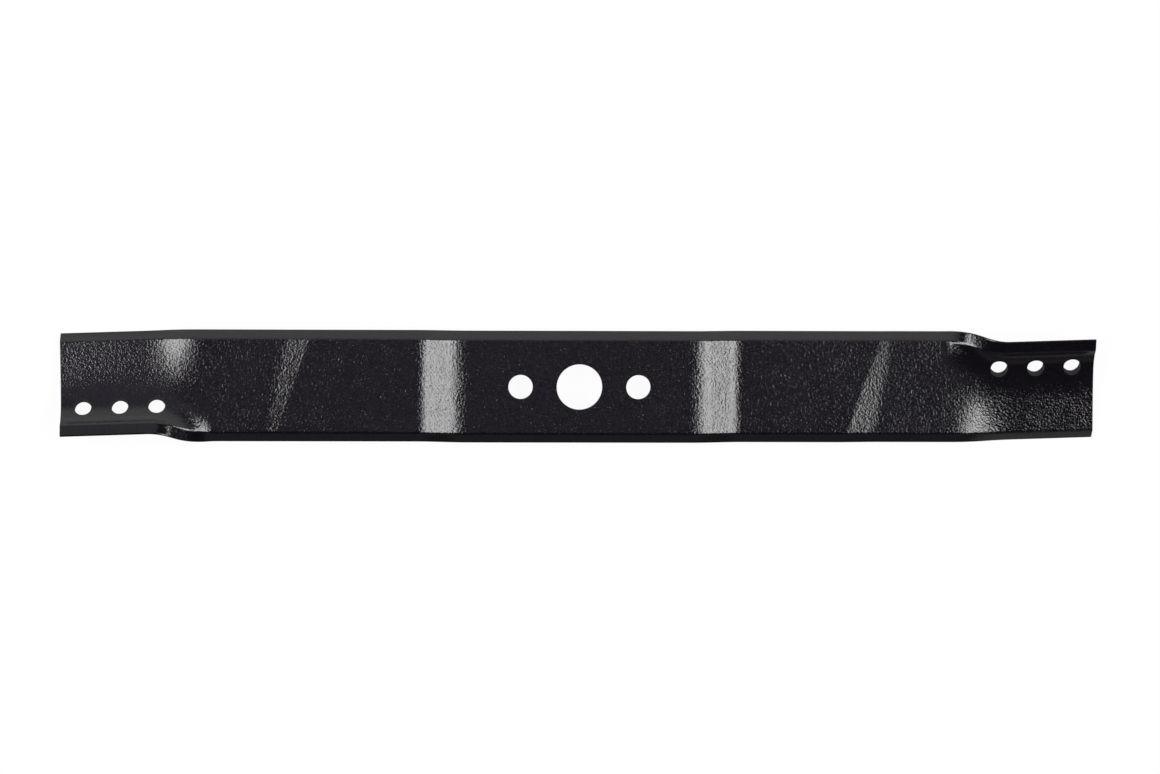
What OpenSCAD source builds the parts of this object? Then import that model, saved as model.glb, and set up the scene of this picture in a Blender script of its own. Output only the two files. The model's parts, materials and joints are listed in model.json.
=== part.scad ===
// Rotary mower blade: one bevelled steel bar, pressed to shape and punched.
// X runs along the blade, Y across it, and Z is the spindle axis, up towards the deck.
// The origin is on the bore axis, at the upper face of the hub.
// Both arms are the same: each is the other turned half a turn about Z.

/* [Bar] */
// Length of the finished blade along its centre line, tip to tip
blade_length = 508; // [450:1:600]
// Width of the bar over its edges
bar_width = 55; // [50:0.5:64]
// Thickness of the bar
bar_thickness = 4.5; // [3.5:0.1:5.5]
// Width of the sloped edge along each long side, seen from above
bevel_width = 4.4; // [2:0.1:6]
// Height of the square land left under each sloped edge
land_height = 0.8; // [0.4:0.1:2]

/* [Hub] */
// Length of the flat hub between the two step bends
hub_length = 106; // [94:1:120]
// Diameter of the centre bore
bore_diameter = 22.4; // [16:0.1:28]
// Diameter of the two drive holes
drive_hole_diameter = 12; // [8:0.1:14]
// Distance between the centres of the drive holes
drive_hole_spacing = 57.8; // [46:0.1:70]

/* [Step down from the hub to the arm] */
// Angle of the slope between hub and arm
step_angle = 18; // [8:0.5:28]
// Straight length of that slope
step_slope_length = 8.5; // [4:0.5:20]
// Bend radius at the hub, at the middle of the thickness
step_hub_radius = 38; // [20:0.5:45]
// Bend radius at the arm, at the middle of the thickness
step_arm_radius = 26; // [16:0.5:40]

/* [Diagonal crease in the arm] */
// Distance from the tip to the crease, on the centre line
crease_to_tip = 115; // [108:0.5:130]
// Angle of the crease off square
crease_skew = 21; // [0:0.5:24]
// Width of the slope beyond the crease, on the centre line
crease_slope_width = 13; // [13:0.5:20]
// Angle off square of the line where that slope ends
crease_end_skew = 8; // [4:0.5:12]
// Drop of the arm over the slope, on the centre line
crease_drop = 0.9; // [0.2:0.05:3]
// Angle by which the arm beyond the slope leans towards its cutting edge
crease_lean = 1.4; // [0:0.1:4]
// Share of the slope that is rounded at the crease
crease_rounding = 0.15; // [0.05:0.05:0.45]
// Share of the slope that is rounded where it ends
crease_end_rounding = 0.35; // [0.05:0.05:0.45]

/* [Formed tip] */
// Length of the tip that is pressed into a scoop
tip_length = 76; // [68:0.5:80]
// Length over which the curl of the sail builds up to its full form
tip_run = 32.5; // [24:0.5:44]
// Share of that length that is rounded at its start
run_rounding = 0.15; // [0.05:0.05:0.45]
// Share of that length that is rounded at its end
run_end_rounding = 0.45; // [0.05:0.05:0.45]
// Angle by which the cutting half leans down
tip_lean = 8; // [2:0.5:12]
// Distance of the lean axis behind the centre line
lean_axis = 4; // [0:0.5:12]
// Distance from the tip to where the lean is complete
lean_to_tip = 41; // [36:0.5:46]
// Length over which the lean builds up
lean_run = 29; // [20:0.5:32]
// Share of that length that is rounded at its start
lean_rounding = 0.45; // [0.1:0.05:0.45]
// Share of that length that is rounded at its end
lean_end_rounding = 0.45; // [0.1:0.05:0.45]
// Angle of the gentle bend that leads into the sail
lead_angle = 5.5; // [1:0.5:8]
// Distance ahead of the centre line at which that bend starts
lead_start = 11; // [6:0.5:14]
// Angle by which the sail curls up from there
sail_angle = 51.5; // [30:0.5:60]
// Distance behind the centre line at which the curl starts
sail_root = 7; // [4:0.5:10]
// Width of the curl, measured along the metal
sail_curl_width = 17.5; // [15:0.5:24]
// Angle by which the tip is swept back in plan
tip_sweep = 1.9; // [0.5:0.1:5]
// Length over which the sweep builds up, ending with the run of the curl
sweep_run = 13; // [10:0.5:24]

/* [Holes in the sail] */
// Number of holes in each sail
vent_count = 3; // [1:1:3]
// Diameter of the holes
vent_diameter = 8.3; // [4:0.1:10]
// Distance between their centres
vent_pitch = 18; // [13:0.5:20]
// Distance from the tip to the centre of the last hole
vent_to_tip = 10.7; // [8:0.1:15]
// Distance of the row behind the centre line, measured along the metal
vent_row = 10.5; // [8:0.1:13]

/* [Hidden] */

// Flat facets that stand for each curved stretch
step_facets = 6;
crease_facets = 3;
run_facets = 24;
edge_facets = 2;
lead_facets = 5;
curl_facets = 12;

// How far a punch reaches past each face
punch_reach = 2;

function degrees(radians) = radians*180/PI;
function radians(degrees) = degrees*PI/180;

half_length = blade_length/2;
half_width = bar_width/2;
half_thickness = bar_thickness/2;
flat_edge = half_width - bevel_width;
land_top = land_height - half_thickness;

hub_arc = step_hub_radius*radians(step_angle);
arm_arc = step_arm_radius*radians(step_angle);
step_start = hub_length/2;
step_end = step_start + hub_arc + step_slope_length;
// Metal that the step takes up beyond its length in plan
step_gain = (step_hub_radius + step_arm_radius)*(radians(step_angle) - sin(step_angle))
    + step_slope_length*(1 - cos(step_angle));

arm_end = half_length + step_gain;
crease = arm_end - crease_to_tip;
crease_end = crease + crease_slope_width;
tip_start = arm_end - tip_length;
tip_formed = tip_start + tip_run;
lean_start = arm_end - lean_to_tip - lean_run;
sweep_start = tip_formed - sweep_run;

// A strip that runs along s is bent by an angle, up where it is positive, from s = 0 on.
// h is the height of the point above the middle of the thickness.
function bent(s, h, radius, angle) =
    let (
        up = sign(angle),
        arc = radius*radians(abs(angle)),
        turn = degrees(min(max(s, 0), arc)/radius),
        past = max(s - arc, 0),
        reach = radius - up*h
    )
    s <= 0 ? [s, h] : [
        reach*sin(turn) + past*cos(turn),
        up*(radius - reach*cos(turn) + past*sin(turn))
    ];

// A bend across the whole bar that starts at x = from
function folded(p, from, radius, angle) =
    let (b = bent(p.x - from, p.z, radius, angle))
    [b.x + from, p.y, b.y];

// A point [s, h] of a strip that curls by an angle over a width, from s = from on
function curled(q, from, width, angle) =
    let (b = angle == 0 ? [q.x - from, q.y] : bent(q.x - from, q.y, width/radians(angle), angle))
    [b.x + from, b.y];

// 0 before a run and 1 after it, straight between its rounded start and end
function ramp(t, start, end) =
    let (slope = 1/(1 - (start + end)/2))
    t <= 0 ? 0 :
    t >= 1 ? 1 :
    t < start ? slope*t*t/(2*start) :
    t > 1 - end ? 1 - slope*(1 - t)*(1 - t)/(2*end) :
    slope*(t - start/2);

// The scoop: the section bends gently, curls up into the sail, and then leans as a whole
function scooped(p) =
    let (
        share = ramp((p.x - tip_start)/tip_run, run_rounding, run_end_rounding),
        lean = tip_lean*ramp((p.x - lean_start)/lean_run, lean_rounding, lean_end_rounding),
        sail = curled([p.y, p.z], sail_root, sail_curl_width, share*sail_angle),
        lead = curled(sail, -lead_start, lead_start + sail_root, share*lead_angle),
        from_axis = lead.x - lean_axis
    )
    [
        p.x,
        lean_axis + from_axis*cos(lean) - lead.y*sin(lean),
        from_axis*sin(lean) + lead.y*cos(lean)
    ];

// The sweep: the tip turns towards its trailing side, in plan
function swept(p) =
    let (b = curled([p.x, p.y], sweep_start, sweep_run, tip_sweep))
    [b.x, b.y, p.z];

// The crease: between its two skewed lines the arm drops and leans, most at the cutting edge
function creased(p) =
    let (
        inner = crease + p.y*tan(crease_skew),
        outer = crease_end + p.y*tan(crease_end_skew),
        share = ramp((p.x - inner)/(outer - inner), crease_rounding, crease_end_rounding),
        lean = share*crease_lean
    )
    [
        p.x,
        p.y*cos(lean) - p.z*sin(lean),
        p.y*sin(lean) + p.z*cos(lean) - share*crease_drop
    ];

function stepped(p) =
    folded(
        folded(p, step_end, step_arm_radius, step_angle),
        step_start, step_hub_radius, -step_angle
    );

// Where a point of the flat bar goes: the tip is pressed first and the step last
function pressed(p) = stepped(creased(swept(scooped(p))));

function onward(from, to, count) = [for (i = [1:count]) from + (to - from)*i/count];

function spread(from, to, count) = concat([from], onward(from, to, count));

function square_lines(from, to, facets) = [for (u = spread(from, to, facets)) [u, 0]];

crease_shares = concat(
    spread(0, crease_rounding, crease_facets),
    spread(1 - crease_end_rounding, 1, crease_facets)
);

// Lines across one arm, from the hub out: distance along the bar, and shift per unit of width
arm_lines = concat(
    square_lines(step_start, step_start + hub_arc, step_facets),
    square_lines(step_end, step_end + arm_arc, step_facets),
    [for (t = crease_shares) [
        crease + t*crease_slope_width,
        (1 - t)*tan(crease_skew) + t*tan(crease_end_skew)
    ]],
    square_lines(min(tip_start, lean_start), max(tip_formed, lean_start + lean_run), run_facets),
    [[arm_end, 0]]
);
line_count = len(arm_lines);

// Lines along one arm, from the cutting edge to the trailing edge
rows = concat(
    [-flat_edge],
    onward(-flat_edge, -lead_start, edge_facets),
    onward(-lead_start, sail_root, lead_facets),
    onward(sail_root, flat_edge, curl_facets)
);
row_count = len(rows);
ring_size = 2*row_count + 4;

// side is 1 for the arm along +X and -1 for the other one
function blade_point(side, line, v, h) =
    let (p = pressed([line[0] + line[1]*side*v, side*v, h]))
    [side*p.x, side*p.y, p.z - half_thickness];

function side_rows(side) =
    side > 0 ? rows : [for (i = [1:row_count]) -rows[row_count - i]];

// The closed section at one line, round from the -Y edge over the top
function section(side, line) =
    let (across = side_rows(side))
    concat(
        [for (v = across) blade_point(side, line, v, half_thickness)],
        [for (h = [land_top, -half_thickness]) blade_point(side, line, half_width, h)],
        [for (i = [1:row_count]) blade_point(side, line, across[row_count - i], -half_thickness)],
        [for (h = [-half_thickness, land_top]) blade_point(side, line, -half_width, h)]
    );

// A face of four corners as two triangles
function split(a, b, c, d) = [[a, b, c], [a, c, d]];

function skin_faces(rings) = [
    for (i = [0:rings - 2], j = [0:ring_size - 1])
        let (a = i*ring_size + j, b = i*ring_size + (j + 1)%ring_size)
        each split(a, b, b + ring_size, a + ring_size)
];

// The end of the bar: strips from the top to the underside, and one at each edge
function end_faces(first) = [
    for (j = [0:row_count - 1])
        let (under = ring_size - 3 - j)
        each split(
            first + j,
            first + (j < row_count - 1 ? j + 1 : row_count),
            first + (j < row_count - 1 ? under - 1 : row_count + 1),
            first + under
        ),
    each split(first, first + ring_size - 3, first + ring_size - 2, first + ring_size - 1)
];

function reversed(faces) = [for (f = faces) [f[2], f[1], f[0]]];

module pressed_bar() {
    rings = concat(
        [for (i = [1:line_count]) section(-1, arm_lines[line_count - i])],
        [for (line = arm_lines) section(1, line)]
    );
    last_ring = (len(rings) - 1)*ring_size;
    polyhedron(
        points = [for (ring = rings) each ring],
        faces = concat(
            skin_faces(len(rings)),
            reversed(end_faces(0)),
            end_faces(last_ring)
        )
    );
}

module hub_punches() {
    for (x = [-1, 0, 1]) {
        diameter = x == 0 ? bore_diameter : drive_hole_diameter;
        translate([x*drive_hole_spacing/2, 0, -bar_thickness - punch_reach])
            cylinder(h = bar_thickness + 2*punch_reach, d = diameter, $fn = 96);
    }
}

// Each hole in a sail stands square to the metal at its own place
module vent_punches(side) {
    for (i = [0:vent_count - 1]) {
        u = arm_end - vent_to_tip - i*vent_pitch;
        v = side*vent_row;
        along = blade_point(side, [u + 1, 0], v, 0) - blade_point(side, [u - 1, 0], v, 0);
        across = blade_point(side, [u, 0], v + side, 0) - blade_point(side, [u, 0], v - side, 0);
        square = cross(along, across)/norm(cross(along, across));
        translate(blade_point(side, [u, 0], v, 0))
            rotate([0, acos(square.z), atan2(square.y, square.x)])
                cylinder(
                    h = bar_thickness + 2*punch_reach, d = vent_diameter,
                    center = true, $fn = 64
                );
    }
}

module blade() {
    color([0.11, 0.11, 0.12])
        difference() {
            pressed_bar();
            hub_punches();
            vent_punches(1);
            vent_punches(-1);
        }
}

blade();
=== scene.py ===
"""Rotary mower blade: one bevelled bar, pressed, punched and powder coated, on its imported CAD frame."""

import json
import math
from types import SimpleNamespace

import bmesh
import bpy
from bpy.props import FloatProperty, FloatVectorProperty, PointerProperty
from mathutils import Matrix, Vector


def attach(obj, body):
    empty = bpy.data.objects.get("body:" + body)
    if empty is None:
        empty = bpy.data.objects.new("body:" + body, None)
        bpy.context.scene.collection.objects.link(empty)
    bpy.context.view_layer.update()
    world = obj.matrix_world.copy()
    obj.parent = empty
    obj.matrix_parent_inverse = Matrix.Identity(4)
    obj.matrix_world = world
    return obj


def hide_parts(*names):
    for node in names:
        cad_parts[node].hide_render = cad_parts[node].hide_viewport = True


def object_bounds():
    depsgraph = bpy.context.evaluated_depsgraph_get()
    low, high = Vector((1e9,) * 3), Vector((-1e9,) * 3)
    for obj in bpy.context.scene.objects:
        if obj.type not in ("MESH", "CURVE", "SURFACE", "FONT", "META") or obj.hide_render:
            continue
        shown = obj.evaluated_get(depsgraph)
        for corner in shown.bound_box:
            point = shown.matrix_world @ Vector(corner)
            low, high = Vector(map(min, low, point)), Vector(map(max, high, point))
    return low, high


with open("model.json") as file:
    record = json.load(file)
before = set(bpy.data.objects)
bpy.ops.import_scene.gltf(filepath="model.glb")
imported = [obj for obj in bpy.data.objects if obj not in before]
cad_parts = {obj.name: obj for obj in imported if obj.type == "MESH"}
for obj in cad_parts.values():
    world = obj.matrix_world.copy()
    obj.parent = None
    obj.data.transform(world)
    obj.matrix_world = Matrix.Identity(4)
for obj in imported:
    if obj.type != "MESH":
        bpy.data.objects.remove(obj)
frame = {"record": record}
CAD_BOX = [list(corner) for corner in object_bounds()]

bl_info = {
    "name": "Rotary mower blade",
    "version": (1, 0, 0),
    "blender": (4, 5, 0),
    "location": "View3D > Sidebar > Mower blade",
    "description": "Presses, punches and coats a rotary mower blade, and sets up its studio",
    "category": "Add Mesh",
}

MM = 0.001
MOUNTS = {mount["name"]: mount for mount in frame["record"]["mounts"]}

# Width of the photograph, and how far the hub lies left of its middle and below it, in pixels
PHOTO_WIDTH = 1160
HUB_LEFT = 0.54
HUB_BELOW = 0.02
# Width of the camera's sensor, in millimetres
SENSOR_WIDTH = 36

# Strokes that stand for each bend, and lines along the bar from its centre line to the row of holes in a sail
STEP_STROKES = 18
CREASE_STROKES = 6
ROWS_TO_VENTS = 11
VENT_COUNT = 3
# Distance between the lines across a tip
RUN_GAP = 0.5*MM
# Two points closer than this are one, and a point this close to a slanted line lies on it
TOUCH = 1e-6
ON_LINE = 5*TOUCH

# Faces round a hole, faces across a rounded edge and a rim, and how far a rim turns outwards
PUNCH_SIDES = 72
ROUND_STEPS = 3
RIM_STEPS = 4
RIM_FLARE = math.radians(62)
SMOOTH_ANGLE = math.radians(32)

# Share of the tip's run after which its own grain starts, and share of each change of grain that is gradual
GRAIN_DELAY = 0.4
GRAIN_BLEND = 0.4
# Noise seldom leaves this range
NOISE_LOW, NOISE_HIGH = 0.3, 0.7

# Distance from the bore axis within which the floor changes in reflections
FLOOR_FADE = 0.15
# Height up to which the backdrop changes in reflections, and height from which it fades to its upper edge
BACKDROP_FOOT = 0.5
BACKDROP_FADE = 1.4
# Faces across the sweep from the floor up into the backdrop
COVE_STEPS = 16


class BladeSizes(bpy.types.PropertyGroup):
    """Sizes of the blade"""

    blade_length: FloatProperty(
        name="Blade length", description="Length along the centre line, tip to tip",
        default=508*MM, unit="LENGTH")
    bar_width: FloatProperty(
        name="Bar width", description="Width of the bar over its edges",
        default=55*MM, unit="LENGTH")
    bar_thickness: FloatProperty(
        name="Bar thickness", description="Thickness of the bar",
        default=MOUNTS["centre_bore"]["dims"]["length_mm"]*MM, unit="LENGTH")
    bevel_width: FloatProperty(
        name="Sloped edge", description="Width of the sloped edge along each long side, seen from above",
        default=4.4*MM, unit="LENGTH")
    land_height: FloatProperty(
        name="Land", description="Height of the square land under each sloped edge",
        default=0.8*MM, unit="LENGTH")
    shoulder_round: FloatProperty(
        name="Shoulder rounding", description="Rounding where the upper face meets a sloped edge",
        default=0.7*MM, unit="LENGTH")
    edge_round: FloatProperty(
        name="Edge rounding", description="Rounding of the coated outer edges",
        default=0.28*MM, unit="LENGTH")
    hub_length: FloatProperty(
        name="Hub length", description="Length of the flat hub between the step bends",
        default=106*MM, unit="LENGTH")
    step_angle: FloatProperty(
        name="Step angle", description="Angle of the slope between hub and arm",
        default=math.radians(18), unit="ROTATION", subtype="ANGLE")
    step_slope_length: FloatProperty(
        name="Step slope", description="Straight length of the slope between hub and arm",
        default=8.5*MM, unit="LENGTH")
    step_hub_radius: FloatProperty(
        name="Step radius at hub", description="Bend radius at the hub, at the middle of the thickness",
        default=38*MM, unit="LENGTH")
    step_arm_radius: FloatProperty(
        name="Step radius at arm", description="Bend radius at the arm, at the middle of the thickness",
        default=26*MM, unit="LENGTH")
    crease_to_tip: FloatProperty(
        name="Crease to tip", description="Distance from the tip to the diagonal crease, on the centre line",
        default=115*MM, unit="LENGTH")
    crease_skew: FloatProperty(
        name="Crease skew", description="Angle of the crease off square",
        default=math.radians(21), unit="ROTATION", subtype="ANGLE")
    crease_slope_width: FloatProperty(
        name="Crease slope", description="Width of the slope beyond the crease, on the centre line",
        default=13*MM, unit="LENGTH")
    crease_end_skew: FloatProperty(
        name="Crease end skew", description="Angle off square of the line where that slope ends",
        default=math.radians(8), unit="ROTATION", subtype="ANGLE")
    crease_drop: FloatProperty(
        name="Crease drop", description="Drop of the arm over the slope, on the centre line",
        default=0.9*MM, unit="LENGTH")
    crease_lean: FloatProperty(
        name="Crease lean",
        description="Angle by which the arm beyond the slope leans towards its cutting edge",
        default=math.radians(1.4), unit="ROTATION", subtype="ANGLE")
    crease_rounding: FloatProperty(
        name="Crease rounding", description="Share of the slope that is rounded at the crease",
        default=0.15, min=0.05, max=0.45)
    crease_end_rounding: FloatProperty(
        name="Crease end rounding", description="Share of the slope that is rounded where it ends",
        default=0.35, min=0.05, max=0.45)
    tip_length: FloatProperty(
        name="Tip length", description="Length of the tip that is pressed into a scoop",
        default=76*MM, unit="LENGTH")
    tip_run: FloatProperty(
        name="Tip run", description="Length over which the curl of the sail builds up to its full form",
        default=32.5*MM, unit="LENGTH")
    run_rounding: FloatProperty(
        name="Tip run rounding", description="Share of that length that is rounded at its start",
        default=0.15, min=0.05, max=0.45)
    run_end_rounding: FloatProperty(
        name="Tip run end rounding", description="Share of that length that is rounded at its end",
        default=0.45, min=0.05, max=0.45)
    tip_lean: FloatProperty(
        name="Tip lean", description="Angle by which the cutting half leans down",
        default=math.radians(8), unit="ROTATION", subtype="ANGLE")
    lean_axis: FloatProperty(
        name="Lean axis", description="Distance of the lean axis behind the centre line",
        default=4*MM, unit="LENGTH")
    lean_to_tip: FloatProperty(
        name="Lean to tip", description="Distance from the tip to where the lean is complete",
        default=41*MM, unit="LENGTH")
    lean_run: FloatProperty(
        name="Lean run", description="Length over which the lean builds up",
        default=29*MM, unit="LENGTH")
    lean_rounding: FloatProperty(
        name="Lean rounding", description="Share of that length that is rounded at its start",
        default=0.45, min=0.1, max=0.45)
    lean_end_rounding: FloatProperty(
        name="Lean end rounding", description="Share of that length that is rounded at its end",
        default=0.45, min=0.1, max=0.45)
    lead_angle: FloatProperty(
        name="Lead angle", description="Angle of the gentle bend that leads into the sail",
        default=math.radians(5.5), unit="ROTATION", subtype="ANGLE")
    lead_start: FloatProperty(
        name="Lead start", description="Distance ahead of the centre line at which that bend starts",
        default=11*MM, unit="LENGTH")
    sail_angle: FloatProperty(
        name="Sail angle", description="Angle by which the sail curls up from there",
        default=math.radians(51.5), unit="ROTATION", subtype="ANGLE")
    sail_root: FloatProperty(
        name="Sail root", description="Distance behind the centre line at which the curl starts",
        default=7*MM, unit="LENGTH")
    sail_curl_width: FloatProperty(
        name="Sail curl", description="Width of the curl, measured along the metal",
        default=17.5*MM, unit="LENGTH")
    tip_sweep: FloatProperty(
        name="Tip sweep", description="Angle by which the tip is swept back in plan",
        default=math.radians(1.9), unit="ROTATION", subtype="ANGLE")
    sweep_run: FloatProperty(
        name="Sweep run", description="Length over which the sweep builds up",
        default=13*MM, unit="LENGTH")
    vent_diameter: FloatProperty(
        name="Vent diameter", description="Diameter of the holes in the sail",
        default=8.3*MM, unit="LENGTH")
    vent_pitch: FloatProperty(
        name="Vent pitch", description="Distance between the centres of those holes",
        default=18*MM, unit="LENGTH")
    vent_to_tip: FloatProperty(
        name="Vent to tip", description="Distance from the tip to the centre of the last hole",
        default=10.7*MM, unit="LENGTH")
    vent_row: FloatProperty(
        name="Vent row", description="Distance of the row behind the centre line, along the metal",
        default=10.5*MM, unit="LENGTH")
    rim_round: FloatProperty(
        name="Rim rounding", description="Rounding of the coated rims of all holes",
        default=0.35*MM, unit="LENGTH")


class CoatFinish(bpy.types.PropertyGroup):
    """Colours and grain of the powder coat"""

    deep_colour: FloatVectorProperty(
        name="Deep colour", description="Coat in the valleys of its grain",
        default=(0.0022, 0.0014, 0.0029), subtype="COLOR", min=0, max=1)
    light_colour: FloatVectorProperty(
        name="Light colour", description="Coat on the crests of its grain",
        default=(0.0044, 0.0030, 0.0058), subtype="COLOR", min=0, max=1)
    grain_size: FloatProperty(
        name="Grain size", description="Width of one wrinkle of the leathery grain",
        default=1*MM, unit="LENGTH")
    grain_depth: FloatProperty(
        name="Grain depth", description="Depth of the leathery grain",
        default=0.14*MM, unit="LENGTH")
    pimple_share: FloatProperty(
        name="Pimples", description="Height of the round pimples, as a share of the wrinkles",
        default=0.45, min=0)
    wave_count: FloatProperty(
        name="Waves per metre", description="Broad, shallow waves of the coat in one metre",
        default=55, min=0)
    wave_depth: FloatProperty(
        name="Wave depth", description="Depth of those waves",
        default=0.22*MM, unit="LENGTH")
    cloud_count: FloatProperty(
        name="Clouds per metre", description="Patches of glossier and duller coat in one metre",
        default=38, min=0)
    tip_grain: FloatProperty(
        name="Grain at the tip",
        description="Strength of the grain on the cutting half of a tip, where the coat is thick",
        default=1.4, min=0)
    hollow_grain: FloatProperty(
        name="Grain in the hollow",
        description="Strength of the grain in the hollow of the scoop, where the coat pools",
        default=0.4, min=0)
    edge_grain: FloatProperty(
        name="Grain on the edges", description="Strength of the grain on the rolled edges",
        default=0.35, min=0)
    gloss_low: FloatProperty(
        name="Lowest roughness", description="Roughness where the coat is glossiest",
        default=0.1, min=0, max=1)
    gloss_high: FloatProperty(
        name="Highest roughness", description="Roughness where the coat is dullest",
        default=0.15, min=0, max=1)
    wall_roughness: FloatProperty(
        name="Hole wall roughness", description="Roughness of the thin coat on the walls of the holes",
        default=0.8, min=0, max=1)
    refraction: FloatProperty(
        name="Refraction", description="Index of refraction of the coat",
        default=1.6, min=1)


class StudioSetup(bpy.types.PropertyGroup):
    """Floor, lamps and camera"""

    floor_colour: FloatVectorProperty(
        name="Floor colour", description="Colour of the floor and the backdrop",
        default=(0.92, 0.92, 0.92), subtype="COLOR", min=0, max=1)
    paper_size: FloatProperty(
        name="Paper size", description="Width and depth of the floor",
        default=12, unit="LENGTH")
    backdrop_distance: FloatProperty(
        name="Backdrop distance", description="Distance from the bore axis to the backdrop",
        default=3.4, unit="LENGTH")
    backdrop_height: FloatProperty(
        name="Backdrop height", description="Height of the backdrop",
        default=3.4, unit="LENGTH")
    cove_radius: FloatProperty(
        name="Cove", description="Radius of the sweep from the floor up into the backdrop",
        default=0.8, unit="LENGTH")
    floor_glow: FloatProperty(
        name="White share", description="Share of plain white in what the camera sees of the floor",
        default=0.95, min=0, max=1)
    front_level: FloatProperty(
        name="Front level",
        description="How bright the floor before the blade is in reflections, where white is 1",
        default=0.06, min=0, max=1)
    back_level: FloatProperty(
        name="Back level", description="How bright the floor behind the blade is in reflections",
        default=0.85, min=0, max=1)
    backdrop_level: FloatProperty(
        name="Backdrop level", description="How bright the upright backdrop is in reflections",
        default=0.77, min=0, max=1)
    backdrop_top_level: FloatProperty(
        name="Backdrop top level", description="How bright the upper edge of the backdrop is in reflections",
        default=0.32, min=0, max=1)
    sky_level: FloatProperty(
        name="Sky level", description="Brightness of the dim room around the studio",
        default=0.035, min=0)
    lamp_distance: FloatProperty(
        name="Lamp distance", description="Distance of every lamp from the hub",
        default=3.0, unit="LENGTH")
    side_lamp_angle: FloatProperty(
        name="Side lamp angle", description="Angle of the two side lamps off the vertical",
        default=math.radians(35), unit="ROTATION", subtype="ANGLE")
    side_lamp_shift: FloatProperty(
        name="Side lamp shift", description="Angle of the side lamps towards the backdrop",
        default=math.radians(2), unit="ROTATION", subtype="ANGLE")
    side_lamp_width: FloatProperty(
        name="Side lamp width", description="Width of a side lamp along the blade",
        default=1.0, unit="LENGTH")
    side_lamp_depth: FloatProperty(
        name="Side lamp depth", description="Depth of a side lamp across the blade",
        default=2.2, unit="LENGTH")
    side_lamp_level: FloatProperty(
        name="Side lamp level", description="Brightness of a side lamp, where white paper is 1",
        default=7.6, min=0)
    glow_angle: FloatProperty(
        name="Glow angle", description="Angle off the vertical of the dim panels that soften the side lamps",
        default=math.radians(33), unit="ROTATION", subtype="ANGLE")
    glow_width: FloatProperty(
        name="Glow width", description="Width of such a panel along the blade",
        default=1.4, unit="LENGTH")
    glow_depth: FloatProperty(
        name="Glow depth", description="Depth of such a panel across the blade",
        default=2.0, unit="LENGTH")
    glow_shift: FloatProperty(
        name="Glow shift", description="Angle of these panels towards the backdrop",
        default=math.radians(4), unit="ROTATION", subtype="ANGLE")
    glow_level: FloatProperty(
        name="Glow level", description="Brightness of such a panel, where white paper is 1",
        default=1.4, min=0)
    top_lamp_shift: FloatProperty(
        name="Top lamp shift", description="Angle of the dim lamp towards the backdrop",
        default=math.radians(29), unit="ROTATION", subtype="ANGLE")
    top_lamp_width: FloatProperty(
        name="Top lamp width", description="Width of the dim lamp along the blade",
        default=1.6, unit="LENGTH")
    top_lamp_depth: FloatProperty(
        name="Top lamp depth", description="Depth of the dim lamp across the blade",
        default=1.85, unit="LENGTH")
    top_lamp_level: FloatProperty(
        name="Top lamp level", description="Brightness of the dim lamp, where white paper is 1",
        default=0.3, min=0)
    ceiling_width: FloatProperty(
        name="Ceiling width", description="Width along the blade of the pale patch of ceiling over the hub",
        default=0.66, unit="LENGTH")
    ceiling_depth: FloatProperty(
        name="Ceiling depth", description="Depth of that patch across the blade",
        default=0.8, unit="LENGTH")
    ceiling_level: FloatProperty(
        name="Ceiling level", description="Brightness of that patch, where white paper is 1",
        default=0.3, min=0)
    ceiling_side: FloatProperty(
        name="Ceiling side angle", description="Angle of that patch off the vertical, along the blade",
        default=math.radians(-1), unit="ROTATION", subtype="ANGLE")
    dim_colour: FloatVectorProperty(
        name="Dim light colour", description="Colour of the dim lamp and the patch of ceiling",
        default=(1.1, 0.94, 1.27), subtype="COLOR", min=0)
    front_panel_angle: FloatProperty(
        name="Front panel angle", description="Angle off the vertical of the low panel before the blade",
        default=math.radians(80), unit="ROTATION", subtype="ANGLE")
    front_panel_width: FloatProperty(
        name="Front panel width", description="Width of that panel along the blade",
        default=4.0, unit="LENGTH")
    front_panel_height: FloatProperty(
        name="Front panel height", description="Height of that panel",
        default=0.9, unit="LENGTH")
    front_panel_level: FloatProperty(
        name="Front panel level", description="Brightness of that panel, where white paper is 1",
        default=0.11, min=0)
    camera_distance: FloatProperty(
        name="Camera distance", description="Distance from the camera to the hub",
        default=1.745, unit="LENGTH")
    camera_side: FloatProperty(
        name="Camera side angle", description="Angle of the camera off the bore axis, along the blade",
        default=math.radians(-1.783), unit="ROTATION", subtype="ANGLE")
    camera_back: FloatProperty(
        name="Camera back angle", description="Angle of the camera off the bore axis, across the blade",
        default=math.radians(3.359), unit="ROTATION", subtype="ANGLE")
    camera_roll: FloatProperty(
        name="Camera roll", description="Turn of the camera about its own axis",
        default=math.radians(0.123), unit="ROTATION", subtype="ANGLE")
    photo_scale: FloatProperty(
        name="Photo scale", description="Photograph pixels in one metre at the hub",
        default=2039.0, min=1)


def leave_edit_mode():
    if bpy.context.mode != "OBJECT":
        bpy.ops.object.mode_set(mode="OBJECT")
    bpy.ops.object.select_all(action="DESELECT")


def edit_points(piece):
    """The points of the piece that is in edit mode"""
    mesh = bmesh.from_edit_mesh(piece.data)
    mesh.verts.ensure_lookup_table()
    return mesh.verts


def pick_edges(piece, wanted):
    """Select the edges whose two points pass a test"""
    bpy.ops.mesh.select_mode(type="EDGE")
    bpy.ops.mesh.select_all(action="DESELECT")
    mesh = bmesh.from_edit_mesh(piece.data)
    for edge in mesh.edges:
        if wanted(edge.verts[0].co, edge.verts[1].co):
            edge.select_set(True)
    bmesh.update_edit_mesh(piece.data)


def pick_points(piece, indices):
    bpy.ops.mesh.select_mode(type="VERT")
    bpy.ops.mesh.select_all(action="DESELECT")
    mesh = bmesh.from_edit_mesh(piece.data)
    mesh.verts.ensure_lookup_table()
    for i in indices:
        mesh.verts[i].select = True
    mesh.select_flush_mode()


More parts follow.
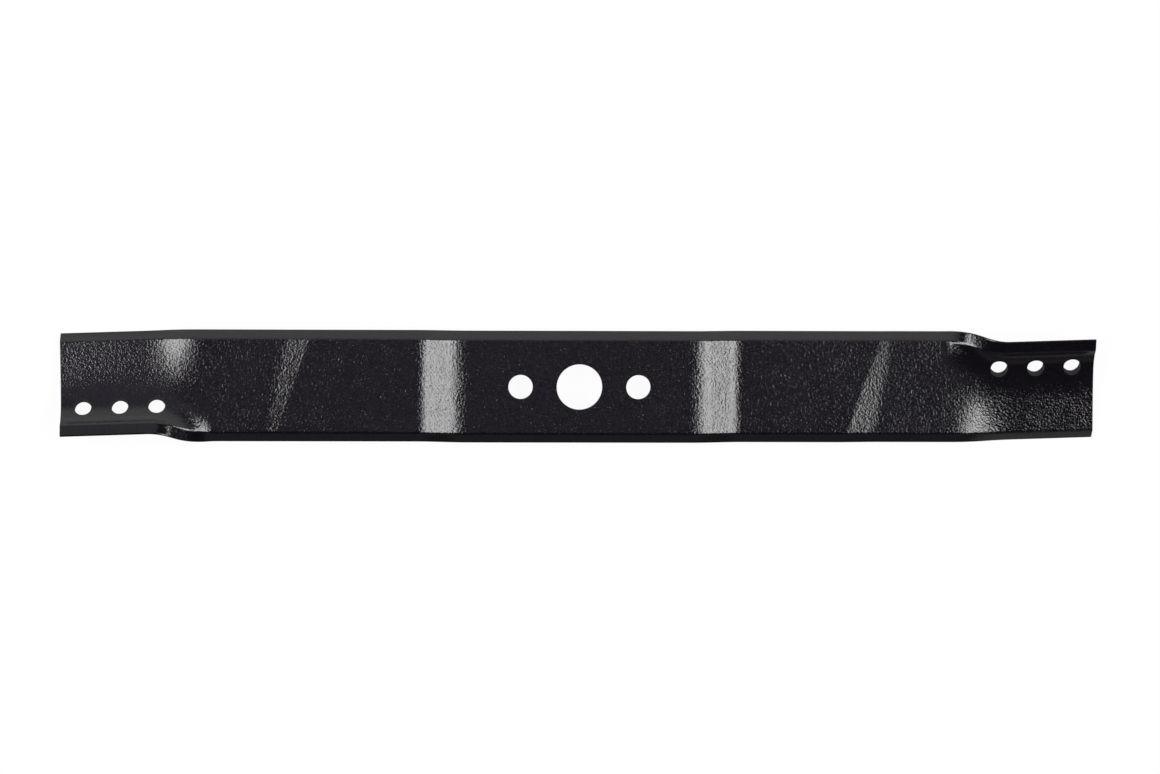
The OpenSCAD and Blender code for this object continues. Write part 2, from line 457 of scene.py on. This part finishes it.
def turn(piece, indices, axis, angle, centre):
    """Turn points about an axis through centre, right-handed"""
    pick_points(piece, indices)
    bpy.ops.transform.rotate(value=-angle, orient_axis=axis, center_override=centre)


def bend_plan(sizes):
    """Where the bends lie on the flat bar, as distances from the bore axis"""
    plan = SimpleNamespace()
    half_length = sizes.blade_length/2
    plan.half_width = sizes.bar_width/2
    plan.half_thickness = sizes.bar_thickness/2
    plan.flat_edge = plan.half_width - sizes.bevel_width
    plan.land_top = sizes.land_height - plan.half_thickness
    plan.hub_bend = SimpleNamespace(
        start=sizes.hub_length/2, radius=sizes.step_hub_radius, angle=-sizes.step_angle)
    step_end = sizes.hub_length/2 + sizes.step_hub_radius*sizes.step_angle + sizes.step_slope_length
    plan.arm_bend = SimpleNamespace(start=step_end, radius=sizes.step_arm_radius, angle=sizes.step_angle)
    both_radii = sizes.step_hub_radius + sizes.step_arm_radius
    step_gain = both_radii*(sizes.step_angle - math.sin(sizes.step_angle))
    step_gain += sizes.step_slope_length*(1 - math.cos(sizes.step_angle))
    plan.arm_end = half_length + step_gain
    plan.crease = plan.arm_end - sizes.crease_to_tip
    plan.tip_start = plan.arm_end - sizes.tip_length
    plan.tip_formed = plan.tip_start + sizes.tip_run
    plan.lean_formed = plan.arm_end - sizes.lean_to_tip
    plan.lean_start = plan.lean_formed - sizes.lean_run
    plan.sweep_start = plan.tip_formed - sizes.sweep_run
    plan.vents = [plan.arm_end - sizes.vent_to_tip - i*sizes.vent_pitch for i in range(VENT_COUNT)]
    row_gap = sizes.vent_row/ROWS_TO_VENTS
    # The outermost row stays clear of the rounded shoulder
    spare = row_gap/3
    side_rows = int((plan.flat_edge - sizes.shoulder_round - spare)/row_gap)
    plan.rows = [i*row_gap for i in range(-side_rows, side_rows + 1)]
    plan.crease_lines = []
    straight = 1 - sizes.crease_rounding - sizes.crease_end_rounding
    for start, width in ((0.0, sizes.crease_rounding), (sizes.crease_rounding, straight),
                         (1 - sizes.crease_end_rounding, sizes.crease_end_rounding)):
        for i in range(CREASE_STROKES):
            plan.crease_lines.append(crease_line(sizes, plan, start + width*i/CREASE_STROKES))
    plan.crease_lines.append(crease_line(sizes, plan, 1.0))
    return plan


def crease_line(sizes, plan, t):
    """A line across the slope beyond the crease, at a share t of it, and how far the arm has dropped there"""
    shift = (1 - t)*math.tan(sizes.crease_skew) + t*math.tan(sizes.crease_end_skew)
    return SimpleNamespace(
        at=plan.crease + t*sizes.crease_slope_width, skew=math.atan(shift), shift=shift,
        share=ramp(t, sizes.crease_rounding, sizes.crease_end_rounding))


def ramp(t, start, end):
    """0 before a run and 1 after it, straight between its rounded start and end"""
    t = min(max(t, 0.0), 1.0)
    slope = 1/(1 - (start + end)/2)
    if t < start:
        return slope*t*t/(2*start)
    if t > 1 - end:
        return 1 - slope*(1 - t)**2/(2*end)
    return slope*(t - start/2)


def roll_bar(sizes, plan):
    """The flat bar of one arm, from the bore axis to the tip, open at the hub and left in edit mode"""
    leave_edit_mode()
    bpy.ops.mesh.primitive_cube_add(
        size=1, location=(plan.arm_end/2, 0, 0), scale=(plan.arm_end, sizes.bar_width, sizes.bar_thickness))
    arm = bpy.context.object
    arm.name = arm.data.name = "pressed_blade"
    bpy.ops.object.transform_apply(location=True, rotation=True, scale=True)
    bpy.ops.object.mode_set(mode="EDIT")
    bpy.ops.mesh.select_all(action="SELECT")
    bpy.ops.mesh.bisect(plane_co=(0, 0, plan.land_top), plane_no=(0, 0, 1))
    upper = [v.index for v in edit_points(arm) if v.co.z > plan.half_thickness - TOUCH]
    pick_points(arm, upper)
    bpy.ops.transform.resize(value=(1, plan.flat_edge/plan.half_width, 1), center_override=(0, 0, 0))
    bpy.ops.mesh.select_mode(type="FACE")
    bpy.ops.mesh.select_all(action="DESELECT")
    mesh = bmesh.from_edit_mesh(arm.data)
    for face in mesh.faces:
        if face.calc_center_median().x < TOUCH:
            face.select_set(True)
    bpy.ops.mesh.delete(type="ONLY_FACE")
    return arm


def round_edges(arm, sizes, plan):
    """Round the long edges of the bar and the outline of its end, as the coat does"""
    def along(height, offset):
        def test(a, b):
            return all(abs(p.z - height) < TOUCH and abs(abs(p.y) - offset) < TOUCH for p in (a, b)) \
                and abs(a.x - b.x) > TOUCH
        return test

    for test, size in (
            (along(plan.half_thickness, plan.flat_edge), sizes.shoulder_round),
            (along(plan.land_top, plan.half_width), sizes.edge_round),
            (along(-plan.half_thickness, plan.half_width), sizes.edge_round),
            (lambda a, b: min(a.x, b.x) > plan.arm_end - TOUCH, sizes.edge_round)):
        pick_edges(arm, test)
        bpy.ops.transform.edge_bevelweight(value=size/sizes.shoulder_round)
    bpy.ops.object.mode_set(mode="OBJECT")
    rounding = arm.modifiers.new("rounded_edges", "BEVEL")
    rounding.limit_method = "WEIGHT"
    rounding.width = sizes.shoulder_round
    rounding.segments = ROUND_STEPS
    bpy.ops.object.modifier_apply(modifier=rounding.name)
    bpy.ops.object.mode_set(mode="EDIT")


def score_lines(arm, sizes, plan):
    """Cut the lines that the press bends the bar along, across it and along it"""
    across = [(line.at, line.skew) for line in plan.crease_lines]
    for bend in (plan.hub_bend, plan.arm_bend):
        gap = bend.radius*sizes.step_angle/STEP_STROKES
        across += [(bend.start + i*gap, 0.0) for i in range(STEP_STROKES + 1)]
    run_lines = round((max(plan.tip_formed, plan.lean_formed) - plan.tip_start)/RUN_GAP)
    across += [(plan.tip_start + i*RUN_GAP, 0.0) for i in range(run_lines + 1)]
    for vent in plan.vents:
        if min(abs(vent - x) for x, skew in across) > TOUCH:
            across.append((vent, 0.0))
    cuts = [((x, 0, 0), (math.cos(skew), -math.sin(skew), 0)) for x, skew in across]
    cuts += [((0, y, 0), (0, 1, 0)) for y in plan.rows]
    for point, normal in cuts:
        bpy.ops.mesh.select_all(action="SELECT")
        bpy.ops.mesh.bisect(plane_co=point, plane_no=normal, threshold=TOUCH)


def mark_grain(arm, sizes, finish, plan):
    """Mark how strong the grain of the coat is: calm on the rolled edges and in the hollow of the scoop"""
    mesh = bmesh.from_edit_mesh(arm.data)
    mark = mesh.verts.layers.float.new("grain_strength")
    for v in mesh.verts:
        formed = ramp((v.co.x - plan.tip_start)/sizes.tip_run - GRAIN_DELAY, GRAIN_BLEND, GRAIN_BLEND)
        across = (v.co.y + sizes.lead_start)/(sizes.lead_start + sizes.sail_root)
        hollow = ramp(across, GRAIN_BLEND, GRAIN_BLEND)
        scoop = finish.tip_grain + (finish.hollow_grain - finish.tip_grain)*hollow
        v[mark] = 1 + (scoop - 1)*formed
        if abs(v.co.y) > plan.flat_edge + TOUCH and v.co.z > TOUCH - plan.half_thickness:
            v[mark] = finish.edge_grain
    bmesh.update_edit_mesh(arm.data)


def scoop_angle(sizes, low, high):
    """How far the full scoop turns up between two lines along it"""
    total = 0.0
    curl_end = sizes.sail_root + sizes.sail_curl_width
    for start, end, angle in (
            (-sizes.lead_start, sizes.sail_root, sizes.lead_angle),
            (sizes.sail_root, curl_end, sizes.sail_angle)):
        total += angle*max(min(high, end) - max(low, start), 0)/(end - start)
    return total


def press_scoop(arm, sizes, plan, flat):
    """Bend the section gently, curl it up into the sail, and then lean all of it"""
    columns = {}
    for i, p in enumerate(flat):
        if p.x > plan.tip_start + TOUCH:
            columns.setdefault(round(p.x/TOUCH), []).append(i)
    lines = plan.rows + [plan.flat_edge, sizes.sail_root + sizes.sail_curl_width]
    strokes = [((low + high)/2, scoop_angle(sizes, low, high)) for low, high in zip(lines, lines[1:])]
    strokes = [(line, angle) for line, angle in reversed(strokes) if angle > 0]
    for members in columns.values():
        x = flat[members[0]].x
        share = ramp((x - plan.tip_start)/sizes.tip_run, sizes.run_rounding, sizes.run_end_rounding)
        for line, angle in strokes:
            turn(arm, [i for i in members if flat[i].y > line], "X", share*angle, (0, line, 0))
        lean = sizes.tip_lean*ramp(
            (x - plan.lean_start)/sizes.lean_run, sizes.lean_rounding, sizes.lean_end_rounding)
        if lean > 0:
            turn(arm, members, "X", lean, (0, sizes.lean_axis, 0))


def press_sweep(arm, sizes, plan, flat):
    """Turn the tip towards its trailing side, in plan"""
    strokes = round(sizes.sweep_run/RUN_GAP)
    for k in reversed(range(strokes)):
        line = plan.sweep_start + (k + 0.5)*sizes.sweep_run/strokes
        turn(arm, [i for i, p in enumerate(flat) if p.x > line], "Z", sizes.tip_sweep/strokes, (line, 0, 0))


def press_crease(arm, sizes, plan, flat):
    """Lean and drop the arm line by line down the slope, and all of it beyond that slope"""
    last = plan.crease_lines[-1]
    for line in plan.crease_lines[1:]:
        members = [i for i, p in enumerate(flat) if abs(p.x - line.at - line.shift*p.y) < ON_LINE]
        if line is last:
            members = [i for i, p in enumerate(flat) if p.x > line.at + line.shift*p.y - ON_LINE]
        turn(arm, members, "X", line.share*sizes.crease_lean, (0, 0, 0))
        bpy.ops.transform.translate(value=(0, 0, -line.share*sizes.crease_drop))


def press_bend(arm, bend, flat):
    """Bend the bar across at one place, from the far side of the bend to the near one"""
    for k in reversed(range(STEP_STROKES)):
        line = bend.start + bend.radius*abs(bend.angle)*(k + 0.5)/STEP_STROKES
        beyond = [i for i, p in enumerate(flat) if p.x > line]
        turn(arm, beyond, "Y", -bend.angle/STEP_STROKES, (line, 0, 0))


def vent_axes(arm, sizes, plan, flat):
    """Middle and direction of each hole in the sail, square to the pressed metal"""
    axes = []
    bmesh.from_edit_mesh(arm.data).normal_update()
    points = edit_points(arm)
    for vent in plan.vents:
        at = [i for i, p in enumerate(flat) if abs(p.x - vent) < TOUCH and abs(p.y - sizes.vent_row) < TOUCH]
        top = points[max(at, key=lambda i: flat[i].z)]
        under = points[min(at, key=lambda i: flat[i].z)]
        axes.append(((top.co + under.co)/2, (top.normal - under.normal).normalized()))
    return axes


def press_arm(sizes, finish, plan):
    """One arm in its pressed form, in edit mode, and the axes of its holes"""
    arm = roll_bar(sizes, plan)
    round_edges(arm, sizes, plan)
    score_lines(arm, sizes, plan)
    mark_grain(arm, sizes, finish, plan)
    flat = [v.co.copy() for v in edit_points(arm)]
    press_scoop(arm, sizes, plan, flat)
    press_sweep(arm, sizes, plan, flat)
    press_crease(arm, sizes, plan, flat)
    press_bend(arm, plan.arm_bend, flat)
    press_bend(arm, plan.hub_bend, flat)
    bpy.ops.mesh.select_all(action="SELECT")
    bpy.ops.transform.translate(value=(0, 0, -plan.half_thickness))
    return arm, vent_axes(arm, sizes, plan, flat)


def copy_arm(arm):
    """The other arm is this one turned half a turn about the bore axis"""
    bpy.ops.mesh.select_mode(type="VERT")
    bpy.ops.mesh.select_all(action="SELECT")
    bpy.ops.mesh.duplicate()
    bpy.ops.transform.rotate(value=math.pi, orient_axis="Z", center_override=(0, 0, 0))
    bpy.ops.mesh.select_all(action="SELECT")
    bpy.ops.mesh.remove_doubles(threshold=TOUCH)
    bpy.ops.mesh.normals_make_consistent(inside=False)
    bpy.ops.object.mode_set(mode="OBJECT")


def add_punch(sizes, middle, axis, radius):
    """A punch that leaves rounded rims: a straight shank that flares at both faces of the metal"""
    rim, half = sizes.rim_round, sizes.bar_thickness/2
    shank = half - rim*math.sin(RIM_FLARE) + TOUCH
    profile = []
    for k in range(RIM_STEPS + 1):
        a = RIM_FLARE*k/RIM_STEPS
        profile.append((shank + rim*math.sin(a), radius + rim*(1 - math.cos(a))))
    height, wide = profile[-1]
    profile.append((height + half, wide))
    levels = [(-h, r) for h, r in reversed(profile)] + profile
    leave_edit_mode()
    bpy.ops.mesh.primitive_circle_add(
        vertices=PUNCH_SIDES, radius=levels[0][1], fill_type="NGON", location=middle + axis*levels[0][0],
        rotation=Vector((0, 0, 1)).rotation_difference(axis).to_euler())
    punch = bpy.context.object
    bpy.ops.object.transform_apply(location=True, rotation=True, scale=True)
    bpy.ops.object.mode_set(mode="EDIT")
    bpy.ops.mesh.select_all(action="SELECT")
    for (h0, r0), (h1, r1) in zip(levels, levels[1:]):
        bpy.ops.mesh.extrude_region_move(TRANSFORM_OT_translate={"value": axis*(h1 - h0)})
        bpy.ops.transform.resize(value=(r1/r0,)*3, center_override=middle + axis*h1)
    bpy.ops.mesh.select_all(action="SELECT")
    bpy.ops.mesh.normals_make_consistent(inside=False)
    bpy.ops.object.mode_set(mode="OBJECT")
    return punch


def mark_hole_walls(blade, sizes, holes):
    """Mark the walls of the holes, where the coat is thin and dull, and carry the grain up to their rims"""
    wall = blade.data.attributes.new("hole_wall", "FLOAT", "FACE")
    grain = blade.data.attributes["grain_strength"]
    for middle, axis, radius, strength in holes:
        reach = radius + sizes.rim_round
        rim = set()
        for v in blade.data.vertices:
            offset = v.co - middle
            off_axis = (offset - axis*offset.dot(axis)).length
            if offset.length < reach + sizes.bar_thickness and off_axis < reach:
                if off_axis < radius/2:
                    raise RuntimeError("A punch left metal in its hole")
                rim.add(v.index)
                grain.data[v.index].value = strength
        for face in blade.data.polygons:
            if rim.issuperset(face.vertices):
                wall.data[face.index].value = 1.0


def punch_holes(blade, sizes, finish, vents):
    """Cut the bore, the drive holes and the holes in both sails"""
    holes = []
    for name in ("centre_bore", "drive_hole_plus_x", "drive_hole_minus_x"):
        mount = MOUNTS[name]
        axis = Vector(mount["axis"])
        middle = Vector(mount["pos_m"]) - axis*sizes.bar_thickness/2
        holes.append((middle, axis, mount["dims"]["r_mm"]*MM, 1.0))
    half_turn = Matrix.Rotation(math.pi, 3, "Z")
    for middle, axis in vents:
        holes.append((middle, axis, sizes.vent_diameter/2, finish.hollow_grain))
        holes.append((half_turn @ middle, half_turn @ axis, sizes.vent_diameter/2, finish.hollow_grain))
    punches = [add_punch(sizes, middle, axis, radius) for middle, axis, radius, strength in holes]
    leave_edit_mode()
    for punch in punches:
        punch.select_set(True)
    bpy.context.view_layer.objects.active = punches[0]
    bpy.ops.object.join()
    leave_edit_mode()
    blade.select_set(True)
    bpy.context.view_layer.objects.active = blade
    cut = blade.modifiers.new("punched_holes", "BOOLEAN")
    cut.operation = "DIFFERENCE"
    cut.solver = "EXACT"
    cut.object = punches[0]
    bpy.ops.object.modifier_apply(modifier=cut.name)
    bpy.data.objects.remove(punches[0])
    mark_hole_walls(blade, sizes, holes)


def smooth_faces(blade):
    """Smooth shading that keeps the flats flat"""
    bpy.ops.object.shade_smooth_by_angle(angle=SMOOTH_ANGLE)
    even = blade.modifiers.new("even_faces", "WEIGHTED_NORMAL")
    even.keep_sharp = True
    bpy.ops.object.modifier_apply(modifier=even.name)


def powder_coat(finish):
    """Black powder coat with a leathery grain, calmer on the rolled edges"""
    coat = bpy.data.materials.new("black_powder_coat")
    coat.use_nodes = True
    nodes, links = coat.node_tree.nodes, coat.node_tree.links
    paint = nodes["Principled BSDF"]

    def node(kind, **settings):
        made = nodes.new(kind)
        for key, value in settings.items():
            setattr(made, key, value)
        return made

    place = node("ShaderNodeTexCoord")

    def noise(scale, detail, rough, warp=0.0):
        made = node("ShaderNodeTexNoise")
        made.inputs["Scale"].default_value = scale
        made.inputs["Detail"].default_value = detail
        made.inputs["Roughness"].default_value = rough
        made.inputs["Distortion"].default_value = warp
        links.new(place.outputs["Object"], made.inputs["Vector"])
        return made

    def spread(source, low, high):
        made = node("ShaderNodeMapRange")
        made.inputs["To Min"].default_value = low
        made.inputs["To Max"].default_value = high
        made.inputs["From Min"].default_value = NOISE_LOW
        made.inputs["From Max"].default_value = NOISE_HIGH
        links.new(source, made.inputs["Value"])
        return made.outputs["Result"]

    per_metre = 1/finish.grain_size
    wrinkles = noise(per_metre, detail=2.0, rough=0.45, warp=0.7)
    pimples = node("ShaderNodeTexVoronoi", feature="SMOOTH_F1")
    pimples.inputs["Scale"].default_value = 0.8*per_metre
    pimples.inputs["Smoothness"].default_value = 0.7
    links.new(place.outputs["Object"], pimples.inputs["Vector"])
    grain = node("ShaderNodeMath", operation="MULTIPLY_ADD")
    grain.inputs[1].default_value = finish.pimple_share
    links.new(pimples.outputs["Distance"], grain.inputs[0])
    links.new(wrinkles.outputs["Fac"], grain.inputs[2])

    strength = node("ShaderNodeAttribute", attribute_name="grain_strength")
    relief = node("ShaderNodeMath", operation="MULTIPLY")
    links.new(strength.outputs["Fac"], relief.inputs[0])
    links.new(grain.outputs["Value"], relief.inputs[1])

    waves = noise(finish.wave_count, detail=1.0, rough=0.4)
    broad = node("ShaderNodeBump")
    broad.inputs["Strength"].default_value = 1.0
    broad.inputs["Distance"].default_value = finish.wave_depth
    links.new(waves.outputs["Fac"], broad.inputs["Height"])
    fine = node("ShaderNodeBump")
    fine.inputs["Distance"].default_value = finish.grain_depth
    fine.inputs["Strength"].default_value = 1.0
    links.new(relief.outputs["Value"], fine.inputs["Height"])
    links.new(broad.outputs["Normal"], fine.inputs["Normal"])
    links.new(fine.outputs["Normal"], paint.inputs["Normal"])

    clouds = noise(finish.cloud_count, detail=3.0, rough=0.55)
    wall = node("ShaderNodeAttribute", attribute_name="hole_wall")
    dull = node("ShaderNodeMix", data_type="FLOAT")
    dull.inputs["B"].default_value = finish.wall_roughness
    links.new(wall.outputs["Fac"], dull.inputs["Factor"])
    links.new(spread(clouds.outputs["Fac"], finish.gloss_low, finish.gloss_high), dull.inputs["A"])
    links.new(dull.outputs["Result"], paint.inputs["Roughness"])
    tint = node("ShaderNodeMix", data_type="RGBA")
    tint.inputs["A"].default_value = (*finish.deep_colour, 1)
    tint.inputs["B"].default_value = (*finish.light_colour, 1)
    shade = noise(0.6*per_metre, detail=3.0, rough=0.6)
    links.new(spread(shade.outputs["Fac"], 0.0, 1.0), tint.inputs["Factor"])
    links.new(tint.outputs["Result"], paint.inputs["Base Color"])
    paint.inputs["IOR"].default_value = finish.refraction
    return coat


class MOWERBLADE_OT_press(bpy.types.Operator):
    """Model the blade: roll the bar, press both arms, punch the holes and coat it"""

    bl_idname = "mower_blade.press"
    bl_label = "Press the blade"

    def execute(self, context):
        sizes, finish = context.scene.mower_blade_sizes, context.scene.mower_blade_finish
        plan = bend_plan(sizes)
        blade, vents = press_arm(sizes, finish, plan)
        copy_arm(blade)
        punch_holes(blade, sizes, finish, vents)
        smooth_faces(blade)
        blade.data.materials.clear()
        blade.data.materials.append(powder_coat(finish))
        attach(blade, "root")
        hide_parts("blade")
        return {"FINISHED"}


def pale_paper(setup):
    """Pale paper that the camera sees as nearly white, with the blade's shadow; it mirrors darker in front"""
    paper = bpy.data.materials.new("pale_paper")
    paper.use_nodes = True
    nodes, links = paper.node_tree.nodes, paper.node_tree.links
    nodes.clear()

    def rise(source, start, end, low, high):
        made = nodes.new("ShaderNodeMapRange")
        made.interpolation_type = "SMOOTHSTEP"
        for name, value in zip(("From Min", "From Max", "To Min", "To Max"), (start, end, low, high)):
            made.inputs[name].default_value = value
        links.new(source, made.inputs["Value"])
        return made.outputs["Result"]

    def combine(first, second, operation="ADD"):
        made = nodes.new("ShaderNodeMath")
        made.operation = operation
        for socket, value in zip(made.inputs, (first, second)):
            if isinstance(value, float):
                socket.default_value = value
            else:
                links.new(value, socket)
        return made.outputs["Value"]

    place = nodes.new("ShaderNodeTexCoord")
    parts = nodes.new("ShaderNodeSeparateXYZ")
    links.new(place.outputs["Object"], parts.inputs["Vector"])
    floor = rise(parts.outputs["Y"], -FLOOR_FADE, FLOOR_FADE, setup.front_level, setup.back_level)
    backdrop = rise(parts.outputs["Z"], 0.0, BACKDROP_FOOT, 0.0, setup.backdrop_level - setup.back_level)
    fade = rise(parts.outputs["Z"], BACKDROP_FADE, setup.backdrop_height, 0.0,
                setup.backdrop_top_level - setup.backdrop_level)
    rays = nodes.new("ShaderNodeLightPath")
    mirrored = combine(rays.outputs["Is Glossy Ray"], combine(combine(floor, backdrop), fade), "MULTIPLY")
    seen = rays.outputs["Is Camera Ray"]
    white = nodes.new("ShaderNodeEmission")
    links.new(combine(mirrored, seen), white.inputs["Strength"])
    lit = nodes.new("ShaderNodeBsdfDiffuse")
    lit.inputs["Color"].default_value = (*setup.floor_colour, 1)
    mix = nodes.new("ShaderNodeMixShader")
    share = combine(combine(seen, setup.floor_glow, "MULTIPLY"), rays.outputs["Is Glossy Ray"])
    links.new(share, mix.inputs["Fac"])
    links.new(lit.outputs["BSDF"], mix.inputs[1])
    links.new(white.outputs["Emission"], mix.inputs[2])
    out = nodes.new("ShaderNodeOutputMaterial")
    links.new(mix.outputs["Shader"], out.inputs["Surface"])
    return paper


def lay_paper(setup):
    """Floor under the blade that sweeps up into a backdrop on the far side"""
    ground = CAD_BOX[0][2]
    leave_edit_mode()
    bpy.ops.mesh.primitive_plane_add(
        size=setup.paper_size, location=(0, setup.backdrop_distance - setup.paper_size/2, ground))
    paper = bpy.context.object
    paper.name = paper.data.name = "paper_sweep"
    bpy.ops.object.transform_apply(location=True, rotation=True, scale=True)
    bpy.ops.object.mode_set(mode="EDIT")
    far = max(v.co.y for v in edit_points(paper)) - TOUCH
    pick_edges(paper, lambda a, b: min(a.y, b.y) > far)
    bpy.ops.mesh.extrude_region_move(TRANSFORM_OT_translate={"value": (0, 0, setup.backdrop_height)})
    pick_edges(paper, lambda a, b: min(a.y, b.y) > far and max(a.z, b.z) < ground + TOUCH)
    bpy.ops.mesh.bevel(offset=setup.cove_radius, segments=COVE_STEPS, profile=0.5, affect="EDGES")
    bpy.ops.object.mode_set(mode="OBJECT")
    bpy.ops.object.shade_smooth()
    paper.data.materials.append(pale_paper(setup))


def hang_lamp(name, along, back, distance, width, depth, level, colour=(1, 1, 1)):
    """A soft panel lamp that faces the hub, at an angle along the blade and one towards the backdrop"""
    place = Vector((math.sin(along)*math.cos(back), math.sin(back), math.cos(along)*math.cos(back)))*distance
    leave_edit_mode()
    bpy.ops.object.light_add(type="AREA", location=place)
    lamp = bpy.context.object
    lamp.name = lamp.data.name = name
    forward = -place.normalized()
    side = Vector((0, 1, 0)).cross(-forward).normalized()
    upward = (-forward).cross(side)
    turned = Matrix((side, upward, -forward)).transposed()
    lamp.rotation_euler = turned.to_euler()
    lamp.data.shape = "RECTANGLE"
    lamp.data.size = width
    lamp.data.size_y = depth
    lamp.data.energy = level*math.pi*width*depth
    lamp.data.color = colour
    lamp.visible_camera = False


def set_camera(setup):
    """Camera over the hub, where the photograph's view is"""
    across = math.sin(setup.camera_side)
    back = math.sin(setup.camera_back)
    out = Vector((across, back, math.sqrt(1 - across*across - back*back)))
    hub = Vector((0, 0, -MOUNTS["centre_bore"]["dims"]["length_mm"]*MM/2))
    right = (Vector((1, 0, 0)) - out*out.x).normalized()
    upward = out.cross(right)
    cos, sin = math.cos(setup.camera_roll), math.sin(setup.camera_roll)
    turned = Matrix((right*cos + upward*sin, upward*cos - right*sin, out)).transposed()
    aside = (right*HUB_LEFT + upward*HUB_BELOW)/setup.photo_scale
    bpy.ops.object.camera_add(location=hub + out*setup.camera_distance + aside)
    camera = bpy.context.object
    camera.rotation_euler = turned.to_euler()
    camera.data.sensor_width = SENSOR_WIDTH
    camera.data.lens = SENSOR_WIDTH*setup.photo_scale*setup.camera_distance/PHOTO_WIDTH
    bpy.context.scene.camera = camera


class MOWERBLADE_OT_studio(bpy.types.Operator):
    """Set up the pale paper sweep, the lamps, the dim room and the camera"""

    bl_idname = "mower_blade.studio"
    bl_label = "Set up the studio"

    def execute(self, context):
        setup = context.scene.mower_blade_studio
        lay_paper(setup)
        for name, side in (("left", -1), ("right", 1)):
            hang_lamp(name + "_lamp", side*setup.side_lamp_angle, setup.side_lamp_shift, setup.lamp_distance,
                      setup.side_lamp_width, setup.side_lamp_depth, setup.side_lamp_level)
            hang_lamp(name + "_glow", side*setup.glow_angle, setup.glow_shift, setup.lamp_distance,
                      setup.glow_width, setup.glow_depth, setup.glow_level)
        hang_lamp("top_lamp", 0.0, setup.top_lamp_shift, setup.lamp_distance,
                  setup.top_lamp_width, setup.top_lamp_depth, setup.top_lamp_level, setup.dim_colour)
        hang_lamp("ceiling_patch", setup.ceiling_side, -setup.camera_back, setup.lamp_distance,
                  setup.ceiling_width, setup.ceiling_depth, setup.ceiling_level, setup.dim_colour)
        hang_lamp("front_panel", 0.0, -setup.front_panel_angle, setup.lamp_distance,
                  setup.front_panel_width, setup.front_panel_height, setup.front_panel_level)
        room = bpy.data.worlds.new("dim_room")
        room.use_nodes = True
        room.node_tree.nodes["Background"].inputs["Color"].default_value = (1, 1, 1, 1)
        room.node_tree.nodes["Background"].inputs["Strength"].default_value = setup.sky_level
        context.scene.world = room
        context.scene.view_settings.view_transform = "Standard"
        set_camera(setup)
        return {"FINISHED"}


class MOWERBLADE_PT_panel(bpy.types.Panel):
    """Sizes, finish and studio of the mower blade"""

    bl_label = "Mower blade"
    bl_idname = "MOWERBLADE_PT_panel"
    bl_space_type = "VIEW_3D"
    bl_region_type = "UI"
    bl_category = "Mower blade"

    def draw(self, context):
        for group, operator in (
                (context.scene.mower_blade_sizes, None),
                (context.scene.mower_blade_finish, MOWERBLADE_OT_press.bl_idname),
                (context.scene.mower_blade_studio, MOWERBLADE_OT_studio.bl_idname)):
            box = self.layout.box()
            for name in group.__annotations__:
                box.prop(group, name)
            if operator:
                box.operator(operator)


CLASSES = (
    BladeSizes, CoatFinish, StudioSetup, MOWERBLADE_OT_press, MOWERBLADE_OT_studio, MOWERBLADE_PT_panel)


def register():
    for cls in CLASSES:
        bpy.utils.register_class(cls)
    bpy.types.Scene.mower_blade_sizes = PointerProperty(type=BladeSizes)
    bpy.types.Scene.mower_blade_finish = PointerProperty(type=CoatFinish)
    bpy.types.Scene.mower_blade_studio = PointerProperty(type=StudioSetup)


def unregister():
    del bpy.types.Scene.mower_blade_studio
    del bpy.types.Scene.mower_blade_finish
    del bpy.types.Scene.mower_blade_sizes
    for cls in reversed(CLASSES):
        bpy.utils.unregister_class(cls)


def main():
    register()
    bpy.ops.mower_blade.press()
    bpy.ops.mower_blade.studio()


if __name__ == "__main__":
    main()
